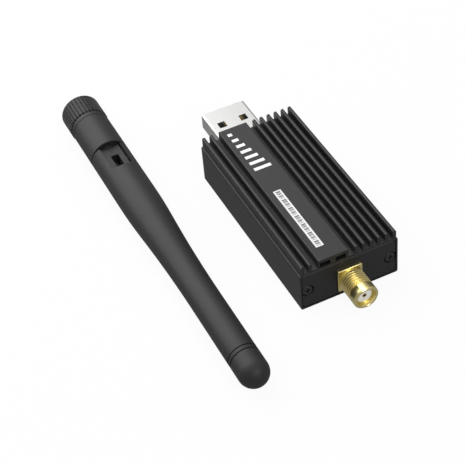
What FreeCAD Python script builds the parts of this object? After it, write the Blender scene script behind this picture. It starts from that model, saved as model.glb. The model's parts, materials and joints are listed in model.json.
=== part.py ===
import FreeCAD, Part
import math
import os

# A finned radio stick with a USB plug at its far end and a threaded antenna jack at its near
# end, with its own folding whip antenna unscrewed and lying beside it. Millimetres. The
# origin is the middle of the case's flat underside, +X is to the right seen from the jack
# end, +Y points at the USB plug and +Z is up, towards the fins.

V = FreeCAD.Vector

# Clearances that are used all over
seat_gap = 0.01
running_gap = 0.06
assembly_gap = 0.1

# Case, an extruded aluminium box with a finned deck
case_width = 25.5
case_length = 52.1
shoulder_height = 10.8
deck_rise = 0.4
fin_height = 2.2
side_wall = 1.3
floor_wall = 1.2
roof_wall = 1.0
bottom_edge_radius = 0.5
shoulder_edge_radius = 0.35
cavity_corner_radius = 1.0

# Fins stand on a grid as wide as the deck, and a flat-topped strip takes the places that
# they leave free
deck_ledge = 0.42
fin_thickness = 0.9
left_fin_count = 2
right_fin_count = 6
strip_places = 5
strip_groove = 1.62
strip_edge_radius = 0.25

# Two channels run through the strip, and show as two dark openings in its ends
channel_height = 1.3
channel_roof = 0.85
channel_left_wall = 0.3
left_channel_width = 2.7
channel_web = 1.4
right_channel_width = 2.6
channel_corner_radius = 0.1

# Screw ports inside the side walls, and rails that carry the circuit board
port_inset = 1.95
port_z = 5.4
port_radius = 1.9
port_hole_radius = 0.85
rail_inset = 0.8
rail_width = 1.5
rail_height = 1.2

# End plates, let into pockets that leave a thin rim of the case around them
plate_thickness = 1.2
plate_lap = 0.4
rim = 0.4
plate_gap = 0.12
plate_corner_radius = 0.9
plate_edge_chamfer = 0.15

# End plate screws
screw_seat_radius = 1.65
screw_seat_floor_radius = 1.38
screw_seat_depth = 0.7
screw_hole_radius = 1.1
screw_head_radius = 1.32
screw_head_height = 0.6
screw_head_edge = 0.25
screw_length = 6.0
cross_length = 1.7
cross_width = 0.36
cross_depth = 0.4

# Circuit board
board_thickness = 1.6
board_side_gap = 0.1
board_end_gap = 0.35

# USB plug
plug_width = 12.0
plug_height = 4.5
plug_wall = 0.3
plug_reach = 15.0
plug_sink = 1.0
plug_tail = 7.0
plug_corner_radius = 0.6
plug_mouth_chamfer = 0.15
plug_hole_gap = 0.15
window_width = 2.0
window_length = 2.2
window_from_tip = 5.15
window_spacing = 6.0
tab_reach = 1.4
tab_thickness = 0.3
tab_length = 2.5
tab_from_tail = 1.0
notch_gap = 0.2

# Insulator and contacts inside the USB plug
tongue_thickness = 1.95
tongue_length = 10.0
tongue_setback = 0.4
contact_width = 1.0
contact_thickness = 0.15
contact_proud = 0.1
outer_contact_x = 3.5
inner_contact_x = 1.0
outer_contact_setback = 1.2
inner_contact_setback = 2.2
contact_tail_run = 0.8
contact_foot_length = 1.35

# Antenna jack
jack_flange = 6.4
jack_flange_proud = 0.5
jack_flange_inside = 0.3
jack_reach = 8.0
jack_barrel_radius = 3.175
jack_undercut_radius = 2.75
jack_undercut_width = 0.65
jack_tip_chamfer = 0.35
jack_mouth_radius = 2.4
jack_mouth_depth = 1.1
jack_bore_radius = 1.9
jack_leg = 1.0
jack_leg_length = 4.5
jack_hole_gap = 0.1
jack_contact_radius = 0.6
jack_contact_hole_radius = 0.34
jack_contact_hole_depth = 2.5
jack_pin_radius = 0.6
jack_pin_length = 4.2

# Parts on the board: length across, length along, height, and the place of the middle
can_across = 13.0
can_along = 15.0
can_height = 2.4
can_sheet = 0.2
can_y = -9.5
radio_chip_side = 7.0
chip_height = 0.9
radio_chip_y = -12.0
radio_crystal_across = 2.5
radio_crystal_along = 2.0
radio_crystal_height = 0.6
radio_crystal_x = -4.0
radio_crystal_y = -5.5
bridge_chip_side = 5.0
bridge_chip_x = -2.5
bridge_chip_y = 10.5
clock_crystal_across = 3.2
clock_crystal_along = 2.5
clock_crystal_height = 0.8
clock_crystal_x = -2.5
clock_crystal_y = 4.5
regulator_across = 3.0
regulator_along = 1.7
regulator_height = 1.2
regulator_x = 4.5
regulator_y = 12.5
capacitor_across = 1.6
capacitor_along = 0.8
capacitor_height = 0.8
capacitor_rows = 4
capacitor_columns = 2
capacitor_pitch_x = 2.6
capacitor_pitch_y = 1.8
capacitors_from_edge = 5.6
capacitor_y = 3.5
lamp_x = 7.4
lamp_y = 1.0
lamp_height = 0.7

# Sticker on the strip
label_width = 2.0
label_length = 21.6
label_thickness = 0.08
label_from_strip_edge = 1.65
label_from_jack_end = 4.1

# Antenna, in a frame of its own: its axis lies along -Y from the middle of the knurl's free
# end, and each "at" is a distance along that axis, towards the tip
antenna_x = -31.8
antenna_y = 61.75
antenna_turn = -0.28
sleeve_length = 20.9
body_radius = 4.98
sleeve_edge = 0.15
knurl_length = 7.5
knurl_radius = 5.15
knurl_slope = 0.35
knurl_ribs = 34
knurl_groove_width = 0.4
knurl_groove_floor_width = 0.14
knurl_groove_depth = 0.28
knurl_end_round = 0.8
knurl_turn = 7.3
knurl_pit_radius = 0.3
knurl_pit_depth = 0.6
knurl_pit_from_end = 0.3
line_groove_from_knurl = 1.2
line_groove_width = 0.22
line_groove_depth = 0.1

# Coupling nut in the sleeve, and the split ring that holds it on the connector
nut_setback = 0.4
nut_length = 7.9
nut_radius = 4.05
nut_thread_radius = 3.2
nut_thread_depth = 5.5
nut_mouth_chamfer = 0.3
ring_setback = 0.7
ring_width = 0.4
ring_thickness = 0.59
ring_groove_depth = 0.25
ring_slit = 0.8

# Connector inside the sleeve
connector_body_radius = 2.6
connector_flange_radius = 3.1
connector_flange_thickness = 0.5
connector_flange_gap = 0.3
connector_tube_length = 1.6
connector_tube_radius = 2.25
connector_tube_wall = 0.25
connector_tail = 2.6
insulator_setback = 0.2
insulator_length = 3.8
pin_radius = 0.32
pin_proud = 2.3

# Knuckle that the sleeve turns on, with its tongue in the hinge
stem_radius = 3.4
stem_proud = 0.2
stem_edge = 0.4
collar_radius = 3.95
collar_length = 1.1
collar_gap = 0.2
lead_radius = 0.9
lead_past_hinge = 2.0
hinge_setback = 5.2
hinge_height = 2.0
tongue_half_width = 2.45
tongue_top = 3.3
tongue_round = 3.5
lead_channel_half_width = 1.0
lead_channel_before_hinge = 1.45
hinge_pin_radius = 0.6
hinge_pin_inner_x = 1.25
hinge_pin_outer_x = 3.75

# Whip
seam_gap = 0.4
slot_side_gap = 0.25
slot_end_gap = 1.1
slot_corner_radius = 1.5
slot_floor_gap = 0.7
ear_sweep_gap = 0.3
heel_floor_gap = 0.1
belly_length = 17.7
shoulder_bend_length = 11.0
waist_bend_length = 29.0
slim_length = 18.5
whip_radius = 3.75
sheath_wall = 0.8
slot_end_wall = 3.3
cap_length = 9.0
cap_groove_width = 0.36
cap_groove_depth = 0.2
cap_groove_spacing = 1.2
spigot_length = 6.0
spigot_hole_depth = 4.0
radiator_sleeve_setback = 1.5
radiator_sleeve_length = 30.0
radiator_sleeve_wall = 0.5
spacer_thickness = 1.5
radiator_rod_radius = 0.45

# Case, board, plug and jack, worked out from the values above
half_width = case_width / 2
half_length = case_length / 2
cavity_half_width = half_width - side_wall
deck_height = shoulder_height + deck_rise
fin_top = deck_height + fin_height
cavity_top = deck_height - roof_wall
fin_places = left_fin_count + strip_places + right_fin_count
grid_half_span = half_width - deck_ledge - fin_thickness / 2
fin_pitch = 2 * grid_half_span / (fin_places - 1)
strip_left = -grid_half_span + (left_fin_count - 1) * fin_pitch + fin_thickness / 2 + strip_groove
strip_right = grid_half_span - (right_fin_count - 1) * fin_pitch - fin_thickness / 2 - strip_groove
port_x = half_width - port_inset
plate_top = cavity_top + plate_lap
board_bottom = floor_wall + rail_height
board_top = board_bottom + board_thickness
board_half_width = port_x - port_radius - board_side_gap
board_half_length = half_length - plate_thickness - board_end_gap
plug_underside = board_top - plug_sink
plug_tip = half_length + plug_reach
plug_rear = half_length - plate_thickness - plug_tail
jack_height = board_top + jack_pin_radius
jack_face = -half_length - jack_flange_proud
jack_back = -half_length + plate_thickness + jack_flange_inside
jack_tip = -half_length - jack_reach

# Places along the antenna, worked out from its lengths
nut_start = nut_setback
nut_end = nut_start + nut_length
nut_shoulder = nut_start + nut_thread_depth
ring_start = nut_shoulder + ring_setback
ring_end = ring_start + ring_width
ring_seat_radius = connector_body_radius - ring_groove_depth
ring_inner_radius = ring_seat_radius + seat_gap
ring_outer_radius = ring_inner_radius + ring_thickness
connector_flange_end = nut_shoulder - connector_flange_gap
connector_flange_start = connector_flange_end - connector_flange_thickness
connector_start = connector_flange_start - connector_tube_length
connector_bore_radius = connector_tube_radius - connector_tube_wall
pin_start = connector_start - pin_proud
insulator_start = connector_start + insulator_setback
insulator_end = insulator_start + insulator_length
collar_start = nut_end + collar_gap
collar_end = collar_start + collar_length
sleeve_shoulder = collar_end + collar_gap
connector_end = sleeve_shoulder + connector_tail
stem_end = sleeve_length + stem_proud
hinge_at = sleeve_length + hinge_setback
lead_channel_start = hinge_at - lead_channel_before_hinge
lead_stop = hinge_at + lead_past_hinge
lead_bore_radius = lead_radius + running_gap
whip_start = sleeve_length + seam_gap
slot_half_width = tongue_half_width + slot_side_gap
slot_end = hinge_at + tongue_round + slot_end_gap
slot_floor = hinge_height - tongue_round - slot_floor_gap
heel_radius = body_radius + hinge_height - heel_floor_gap
taper_start = whip_start + belly_length
taper_turn = taper_start + shoulder_bend_length
taper_end = taper_turn + waist_bend_length
cap_start = taper_end + slim_length
whip_end = cap_start + cap_length
sheath_bore_radius = whip_radius - sheath_wall
sheath_bore_start = slot_end + slot_end_wall
radiator_sleeve_start = sheath_bore_start + radiator_sleeve_setback
radiator_sleeve_end = radiator_sleeve_start + radiator_sleeve_length

# The antenna lies on the knurl's front edge and on the last ring of its full-width root
knurl_full_end = knurl_length - knurl_slope
antenna_tilt = math.atan2(knurl_radius - body_radius, taper_start - knurl_full_end)
antenna_z = knurl_radius * math.cos(antenna_tilt) + knurl_full_end * math.sin(antenna_tilt)


def block(x0, x1, y0, y1, z0, z1):
    """A plain box between two corners."""
    return Part.makeBox(x1 - x0, y1 - y0, z1 - z0, V(x0, y0, z0))


def rounded_face(corners, to_point):
    """A flat face whose outline turns each (u, v, radius) corner with a tangent arc."""
    starts = []
    middles = []
    ends = []
    count = len(corners)
    for i in range(count):
        u, v, radius = corners[i]
        before = corners[i - 1]
        after = corners[(i + 1) % count]
        here = V(u, v, 0)
        back = (V(before[0], before[1], 0) - here).normalize()
        ahead = (V(after[0], after[1], 0) - here).normalize()
        half = math.acos(max(-1.0, min(1.0, back.dot(ahead)))) / 2
        cut = radius / math.tan(half)
        inward = (back + ahead).normalize()
        starts.append(here + back * cut)
        middles.append(here + inward * (radius / math.sin(half) - radius))
        ends.append(here + ahead * cut)
    edges = []
    for i in range(count):
        if corners[i][2] > 0:
            arc = Part.Arc(to_point(starts[i]), to_point(middles[i]), to_point(ends[i]))
            edges.append(arc.toShape())
        line = Part.LineSegment(to_point(ends[i]), to_point(starts[(i + 1) % count]))
        edges.append(line.toShape())
    return Part.Face(Part.Wire(edges))


def bar_along_y(corners, y0, y1):
    """A bar with the given section in X and Z, from y0 to y1."""
    face = rounded_face(corners, lambda p: V(p.x, y0, p.y))
    return face.extrude(V(0, y1 - y0, 0))


def slab_along_z(corners, z0, z1):
    """A slab with the given outline in X and Y, from z0 to z1."""
    face = rounded_face(corners, lambda p: V(p.x, p.y, z0))
    return face.extrude(V(0, 0, z1 - z0))


def rectangle(u0, u1, v0, v1, low_radius=0.0, high_radius=0.0):
    """Corners of a rectangle with one radius for its low and one for its high corners."""
    low = [(u0, v0, low_radius), (u1, v0, low_radius)]
    high = [(u1, v1, high_radius), (u0, v1, high_radius)]
    return low + high


def rod_along_y(x, z, radius, y0, y1):
    """A round rod parallel to Y."""
    return Part.makeCylinder(radius, y1 - y0, V(x, y0, z), V(0, 1, 0))


def ring_edges_at(shape, y):
    """The edges of a shape that lie wholly at one y."""
    found = []
    for edge in shape.Edges:
        box = edge.BoundBox
        if abs(box.YMin - y) < seat_gap and abs(box.YMax - y) < seat_gap:
            found.append(edge)
    return found


def fin_lines():
    """X of every fin."""
    left = [-grid_half_span + i * fin_pitch for i in range(left_fin_count)]
    right = [grid_half_span - i * fin_pitch for i in range(right_fin_count)]
    return left + right


def plate_corners(grow):
    """Outline of an end plate, grown by a clearance for its pocket."""
    side = half_width - rim - plate_gap + grow
    low = rim + plate_gap - grow
    high = plate_top - plate_gap + grow
    radius = plate_corner_radius + grow
    return rectangle(-side, side, low, high, radius, radius)


def case_extrusion():
    """The finned aluminium case: one extrusion with a pocket milled into each end."""
    body_section = rectangle(-half_width, half_width, 0, shoulder_height,
                             bottom_edge_radius, shoulder_edge_radius)
    case = bar_along_y(body_section, -half_length, half_length)
    deck_half_width = grid_half_span + fin_thickness / 2
    case = case.fuse(block(-deck_half_width, deck_half_width, -half_length, half_length,
                           cavity_top, deck_height))
    fin_top_radius = fin_thickness / 2 - seat_gap
    for x in fin_lines():
        section = rectangle(x - fin_thickness / 2, x + fin_thickness / 2, cavity_top, fin_top,
                            0.0, fin_top_radius)
        case = case.fuse(bar_along_y(section, -half_length, half_length))
    strip = rectangle(strip_left, strip_right, cavity_top, fin_top, 0.0, strip_edge_radius)
    case = case.fuse(bar_along_y(strip, -half_length, half_length))
    cavity = rectangle(-cavity_half_width, cavity_half_width, floor_wall, cavity_top,
                       cavity_corner_radius, cavity_corner_radius)
    case = case.cut(bar_along_y(cavity, -half_length, half_length))
    channel_top = fin_top - channel_roof
    left_channel = strip_left + channel_left_wall
    right_channel = left_channel + left_channel_width + channel_web
    for x, width in ((left_channel, left_channel_width), (right_channel, right_channel_width)):
        section = rectangle(x, x + width, channel_top - channel_height, channel_top,
                            channel_corner_radius, channel_corner_radius)
        case = case.cut(bar_along_y(section, -half_length, half_length))
    for side in (-1, 1):
        case = case.fuse(rod_along_y(side * port_x, port_z, port_radius, -half_length, half_length))
        rail_outer = board_half_width - rail_inset
        rail_x = sorted((side * (rail_outer - rail_width), side * rail_outer))
        case = case.fuse(block(rail_x[0], rail_x[1], -half_length, half_length,
                               floor_wall / 2, board_bottom))
    for side in (-1, 1):
        case = case.cut(rod_along_y(side * port_x, port_z, port_hole_radius,
                                    -half_length, half_length))
    pocket = plate_corners(plate_gap)
    case = case.cut(bar_along_y(pocket, -half_length, -half_length + plate_thickness))
    case = case.cut(bar_along_y(pocket, half_length - plate_thickness, half_length))
    return case.removeSplitter()


def end_plate(outward):
    """A blank end plate with its two screw seats; outward is -1 at the jack, 1 at the plug."""
    outer = outward * half_length
    inner = outer - outward * plate_thickness
    plate = bar_along_y(plate_corners(0.0), min(inner, outer), max(inner, outer))
    plate = plate.makeChamfer(plate_edge_chamfer, ring_edges_at(plate, outer))
    for side in (-1, 1):
        seat = Part.makeCone(screw_seat_radius, screw_seat_floor_radius, screw_seat_depth,
                             V(side * port_x, outer, port_z), V(0, -outward, 0))
        hole = rod_along_y(side * port_x, port_z, screw_hole_radius,
                           min(inner, outer), max(inner, outer))
        plate = plate.cut(seat).cut(hole)
    return plate


def jack_end_plate():
    """The near end plate, with a square hole for the jack's flange."""
    half = jack_flange / 2 + jack_hole_gap
    hole = block(-half, half, -half_length, -half_length + plate_thickness,
                 jack_height - half, jack_height + half)
    return end_plate(-1).cut(hole)


def plug_end_plate():
    """The far end plate, with a rounded hole for the USB plug."""
    half = plug_width / 2 + plug_hole_gap
    corners = rectangle(-half, half, plug_underside - plug_hole_gap,
                        plug_underside + plug_height + plug_hole_gap,
                        plug_corner_radius, plug_corner_radius)
    return end_plate(1).cut(bar_along_y(corners, half_length - plate_thickness, half_length))


def plate_screws(outward):
    """Two cross-head screws that hold one end plate, as separate solids."""
    seat = outward * (half_length - screw_seat_depth)
    face = seat + outward * screw_head_height
    tip = outward * (half_length - screw_seat_depth - screw_length)
    screws = []
    for side in (-1, 1):
        x = side * port_x
        head = rod_along_y(x, port_z, screw_head_radius, min(seat, face), max(seat, face))
        head = head.makeFillet(screw_head_edge, ring_edges_at(head, face))
        shank = rod_along_y(x, port_z, port_hole_radius - seat_gap, min(seat, tip), max(seat, tip))
        screw = head.fuse(shank)
        floor = face - outward * cross_depth
        for across, upright in ((cross_length, cross_width), (cross_width, cross_length)):
            screw = screw.cut(block(x - across / 2, x + across / 2, min(floor, face), max(floor, face),
                                    port_z - upright / 2, port_z + upright / 2))
        screws.append(screw.removeSplitter())
    return Part.makeCompound(screws)


def circuit_board():
    """The board on its rails, with a notch that the USB plug sits in."""
    board = block(-board_half_width, board_half_width, -board_half_length, board_half_length,
                  board_bottom, board_top)
    half = plug_width / 2 + notch_gap
    notch = block(-half, half, plug_rear - notch_gap, board_half_length, board_bottom, board_top)
    return board.cut(notch)


def usb_plug_shell():
    """The bent steel shell of the plug, with its latch windows and two solder tabs."""
    half = plug_width / 2
    top = plug_underside + plug_height
    outside = rectangle(-half, half, plug_underside, top, plug_corner_radius, plug_corner_radius)
    inner_radius = plug_corner_radius - plug_wall
    inside = rectangle(-half + plug_wall, half - plug_wall, plug_underside + plug_wall,
                       top - plug_wall, inner_radius, inner_radius)
    shell = bar_along_y(outside, plug_rear, plug_tip)
    shell = shell.makeChamfer(plug_mouth_chamfer, ring_edges_at(shell, plug_tip))
    for side in (-1, 1):
        tab = sorted((side * (half - plug_wall), side * (half + tab_reach)))
        start = plug_rear + tab_from_tail
        shell = shell.fuse(block(tab[0], tab[1], start, start + tab_length,
                                 board_top, board_top + tab_thickness))
    shell = shell.cut(bar_along_y(inside, plug_rear, plug_tip))
    window_start = plug_tip - window_from_tip - window_length
    for side in (-1, 1):
        middle = side * window_spacing / 2
        shell = shell.cut(block(middle - window_width / 2, middle + window_width / 2,
                                window_start, window_start + window_length, 0, fin_top))
    return shell


def usb_contact(x, setback):
    """One contact: a strip on the tongue, a drop behind it and a foot on the board."""
    strip_top = plug_underside + plug_wall + tongue_thickness + contact_proud
    tail = plug_rear - contact_tail_run
    x0 = x - contact_width / 2
    x1 = x + contact_width / 2
    strip = block(x0, x1, tail, plug_tip - setback, strip_top - contact_thickness, strip_top)
    drop = block(x0, x1, tail, tail + contact_thickness, board_top, strip_top)
    foot = block(x0, x1, tail + contact_thickness - contact_foot_length, tail + contact_thickness,
                 board_top, board_top + contact_thickness)
    return strip.fuse(drop).fuse(foot).removeSplitter()


def usb_plug_contacts():
    """The four contacts, as separate solids."""
    contacts = []
    for side in (-1, 1):
        contacts.append(usb_contact(side * outer_contact_x, outer_contact_setback))
        contacts.append(usb_contact(side * inner_contact_x, inner_contact_setback))
    return Part.makeCompound(contacts)


def usb_plug_insulator():
    """The plastic block at the plug's rear and the tongue that carries the contacts."""
    half = plug_width / 2 - plug_wall - seat_gap
    low = plug_underside + plug_wall + seat_gap
    high = plug_underside + plug_height - plug_wall - seat_gap
    tongue_root = plug_tip - tongue_setback - tongue_length
    radius = plug_corner_radius - plug_wall
    rear = bar_along_y(rectangle(-half, half, low, high, radius, radius), plug_rear, tongue_root)
    tongue_high = plug_underside + plug_wall + tongue_thickness
    tongue = bar_along_y(rectangle(-half, half, low, tongue_high, radius, 0.0),
                         tongue_root, plug_tip - tongue_setback)
    return rear.fuse(tongue).removeSplitter().cut(usb_plug_contacts())


def jack_body():
    """The brass jack: square flange, board legs and a round barrel with its mouth."""
    half = jack_flange / 2
    body = block(-half, half, jack_face, jack_back, jack_height - half, jack_height + half)
    barrel = rod_along_y(0, jack_height, jack_barrel_radius, jack_tip, jack_face)
    barrel = barrel.makeChamfer(jack_tip_chamfer, ring_edges_at(barrel, jack_tip))
    ring = rod_along_y(0, jack_height, half, jack_face - jack_undercut_width, jack_face)
    neck = rod_along_y(0, jack_height, jack_undercut_radius,
                       jack_face - jack_undercut_width, jack_face)
    body = body.fuse(barrel.cut(ring).fuse(neck))
    for side in (-1, 1):
        leg = sorted((side * (half - jack_leg), side * half))
        body = body.fuse(block(leg[0], leg[1], jack_back, jack_back + jack_leg_length,
                               board_top, board_top + jack_leg))
        body = body.fuse(block(leg[0], leg[1], jack_back, jack_back + jack_leg_length,
                               board_bottom - jack_leg, board_bottom))
    body = body.cut(rod_along_y(0, jack_height, jack_bore_radius, jack_tip, jack_back))
    mouth = rod_along_y(0, jack_height, jack_mouth_radius, jack_tip, jack_tip + jack_mouth_depth)
    return body.cut(mouth).removeSplitter()


def jack_insulator():
    """The white insulator that fills the jack's bore."""
    front = jack_tip + jack_mouth_depth
    insulator = rod_along_y(0, jack_height, jack_bore_radius - seat_gap, front, jack_back)
    return insulator.cut(rod_along_y(0, jack_height, jack_contact_radius, front, jack_back))


def jack_contact():
    """The gold contact: a socket at the mouth and a pin that lies on the board."""
    front = jack_tip + jack_mouth_depth
    contact = rod_along_y(0, jack_height, jack_contact_radius, front, jack_back)
    contact = contact.fuse(rod_along_y(0, jack_height, jack_pin_radius, jack_back,
                                       jack_back + jack_pin_length))
    hole = rod_along_y(0, jack_height, jack_contact_hole_radius, front,
                       front + jack_contact_hole_depth)
    return contact.cut(hole)


def chip(across, along, height, x, y):
    """A flat package on the board's top, centred on x and y."""
    return block(x - across / 2, x + across / 2, y - along / 2, y + along / 2,
                 board_top, board_top + height)


def radio_shield_can():
    """The sheet metal can over the radio circuit, open underneath."""
    can = chip(can_across, can_along, can_height, 0, can_y)
    inside = chip(can_across - 2 * can_sheet, can_along - 2 * can_sheet,
                  can_height - can_sheet, 0, can_y)
    return can.cut(inside)


def capacitors():
    """A small field of capacitors, as separate solids."""
    pieces = []
    first_x = board_half_width - capacitors_from_edge
    for row in range(capacitor_rows):
        for column in range(capacitor_columns):
            pieces.append(chip(capacitor_across, capacitor_along, capacitor_height,
                               first_x + column * capacitor_pitch_x,
                               capacitor_y + row * capacitor_pitch_y))
    return Part.makeCompound(pieces)


def status_lamps():
    """Two status lamps near the board's edges, as separate solids."""
    lamps = []
    for side in (-1, 1):
        lamps.append(chip(capacitor_along, capacitor_across, lamp_height, side * lamp_x, lamp_y))
    return Part.makeCompound(lamps)


def label_sticker():
    """The plain white sticker on the strip."""
    x0 = strip_left + label_from_strip_edge
    y0 = -half_length + label_from_jack_end
    return block(x0, x0 + label_width, y0, y0 + label_length, fin_top, fin_top + label_thickness)


def turned(profile):
    """A turned piece: a closed outline of (distance along, radius) points spun on the axis."""
    points = [V(radius, -at, 0) for at, radius in profile]
    points.append(points[0])
    face = Part.Face(Part.makePolygon(points))
    return face.revolve(V(0, 0, 0), V(0, 1, 0), 360)


def tube(start, end, outer_radius, inner_radius):
    """A plain tube on the antenna's axis."""
    return turned([(start, inner_radius), (end, inner_radius), (end, outer_radius),
                   (start, outer_radius)])


def rod(start, end, radius):
    """A plain rod on the antenna's axis."""
    return rod_along_y(0, 0, radius, -end, -start)


def cross_rod(radius, x0, x1):
    """A round rod along X on the hinge's axis."""
    return Part.makeCylinder(radius, x1 - x0, V(x0, -hinge_at, hinge_height), V(1, 0, 0))


def placed(shape):
    """Lay an antenna piece down beside the stick."""
    piece = shape.copy()
    piece.rotate(V(0, 0, 0), V(1, 0, 0), math.degrees(antenna_tilt))
    piece.rotate(V(0, 0, 0), V(0, 0, 1), antenna_turn)
    piece.translate(V(antenna_x, antenna_y, antenna_z))
    return piece


def antenna_sleeve():
    """The plastic sleeve: knurled at its free end, and bored for the nut and the stem."""
    nut_pocket = nut_radius + seat_gap
    bore = stem_radius + running_gap
    line_start = knurl_length + line_groove_from_knurl
    line_end = line_start + line_groove_width
    sleeve = turned([
        (0, nut_pocket), (sleeve_shoulder, nut_pocket), (sleeve_shoulder, bore),
        (sleeve_length, bore), (sleeve_length, body_radius - sleeve_edge),
        (sleeve_length - sleeve_edge, body_radius), (line_end, body_radius),
        (line_end, body_radius - line_groove_depth), (line_start, body_radius - line_groove_depth),
        (line_start, body_radius), (knurl_length, body_radius), (knurl_full_end, knurl_radius),
        (0, knurl_radius)])
    sleeve = sleeve.makeFillet(knurl_end_round, outer_edge_at(sleeve, 0, knurl_radius))
    floor_half = knurl_groove_floor_width / 2
    crest_half = knurl_groove_width / 2
    mouth_half = 2 * crest_half - floor_half
    floor = knurl_radius - knurl_groove_depth
    mouth = knurl_radius + knurl_groove_depth
    section = [(-floor_half, floor, 0.0), (floor_half, floor, 0.0),
               (mouth_half, mouth, 0.0), (-mouth_half, mouth, 0.0)]
    grooves = []
    for i in range(knurl_ribs):
        groove = bar_along_y(section, -knurl_length, 0)
        pit = Part.makeCylinder(knurl_pit_radius, 2 * knurl_pit_depth,
                                V(0, knurl_pit_from_end - knurl_length,
                                  knurl_radius - knurl_pit_depth))
        groove = groove.fuse(pit)
        groove.rotate(V(0, 0, 0), V(0, 1, 0), knurl_turn + 360 * i / knurl_ribs)
        grooves.append(groove)
    return sleeve.cut(Part.makeCompound(grooves))


def outer_edge_at(shape, at, radius):
    """The round edges of a turned piece at one distance and one radius."""
    found = []
    for edge in ring_edges_at(shape, -at):
        if abs(edge.BoundBox.XMax - radius) < seat_gap:
            found.append(edge)
    return found


def coupling_nut():
    """The brass nut in the sleeve, which screws onto the jack's barrel."""
    neck = connector_body_radius + running_gap
    groove = ring_outer_radius + assembly_gap
    return turned([
        (nut_start, nut_thread_radius + nut_mouth_chamfer),
        (nut_start + nut_mouth_chamfer, nut_thread_radius), (nut_shoulder, nut_thread_radius),
        (nut_shoulder, neck), (ring_start - assembly_gap, neck),
        (ring_start - assembly_gap, groove), (ring_end + assembly_gap, groove),
        (ring_end + assembly_gap, neck), (nut_end, neck), (nut_end, nut_radius),
        (nut_start, nut_radius)])


def retaining_ring():
    """The split ring that keeps the nut on the connector."""
    ring = tube(ring_start, ring_end, ring_outer_radius, ring_inner_radius)
    slit = block(-ring_slit / 2, ring_slit / 2, -ring_end, -ring_start, 0, ring_outer_radius)
    return ring.cut(slit)


def connector_body():
    """The plated tube that meets the jack's mouth, with the groove for the ring."""
    return turned([
        (connector_start, connector_bore_radius), (insulator_end, connector_bore_radius),
        (insulator_end, lead_bore_radius), (connector_end, lead_bore_radius),
        (connector_end, connector_body_radius), (ring_end, connector_body_radius),
        (ring_end, ring_seat_radius), (ring_start, ring_seat_radius),
        (ring_start, connector_body_radius),
        (connector_flange_end, connector_body_radius),
        (connector_flange_end, connector_flange_radius),
        (connector_flange_start, connector_flange_radius),
        (connector_flange_start, connector_tube_radius),
        (connector_start, connector_tube_radius)])


def connector_insulator():
    """The white insulator inside the connector."""
    return tube(insulator_start, insulator_end, connector_bore_radius - seat_gap, pin_radius)


def connector_pin():
    """The gold centre pin, with a chamfered tip."""
    taper = pin_radius / 2
    return turned([(pin_start, 0), (insulator_end, 0), (insulator_end, pin_radius),
                   (pin_start + taper, pin_radius), (pin_start, pin_radius - taper)])


def antenna_knuckle():
    """The stem that the sleeve turns on, and the tongue that stands in the hinge slot."""
    connector_seat = connector_body_radius + seat_gap
    stem = turned([
        (collar_start, connector_seat), (connector_end + assembly_gap, connector_seat),
        (connector_end + assembly_gap, lead_bore_radius), (stem_end, lead_bore_radius),
        (stem_end, stem_radius - stem_edge), (stem_end - stem_edge, stem_radius),
        (collar_end, stem_radius), (collar_end, collar_radius), (collar_start, collar_radius)])
    w = tongue_half_width
    low = hinge_height - tongue_round
    tongue = block(-w, w, -hinge_at, -stem_end, low, tongue_top)
    nose = cross_rod(tongue_round, -w, w)
    nose = nose.cut(block(-w, w, -hinge_at - tongue_round, -hinge_at + tongue_round,
                          tongue_top, hinge_height + tongue_round))
    tongue = tongue.fuse(nose)
    knuckle = stem.fuse(tongue)
    knuckle = knuckle.cut(rod(connector_end, lead_channel_start, lead_bore_radius))
    c = lead_channel_half_width
    knuckle = knuckle.cut(block(-c, c, -hinge_at - tongue_round, -lead_channel_start,
                                -lead_bore_radius, tongue_top))
    knuckle = knuckle.cut(cross_rod(hinge_pin_radius + seat_gap, -w, -c))
    knuckle = knuckle.cut(cross_rod(hinge_pin_radius + seat_gap, c, w))
    return knuckle.removeSplitter()


def antenna_lead():
    """The stiff coaxial lead from the connector up into the tongue's channel."""
    return rod(insulator_end, lead_stop, lead_radius)


def hinge_pins():
    """Two short steel pins, each pressed in the tongue and running in one ear."""
    right = cross_rod(hinge_pin_radius, hinge_pin_inner_x, hinge_pin_outer_x)
    left = cross_rod(hinge_pin_radius, -hinge_pin_outer_x, -hinge_pin_inner_x)
    return Part.makeCompound([left, right])


def bend_rise(run, drop):
    """How far a tangent arc has left its tangent at half of its run."""
    bend = (run * run + drop * drop) / (2 * drop)
    return bend - math.sqrt(bend * bend - run * run / 4)


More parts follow.
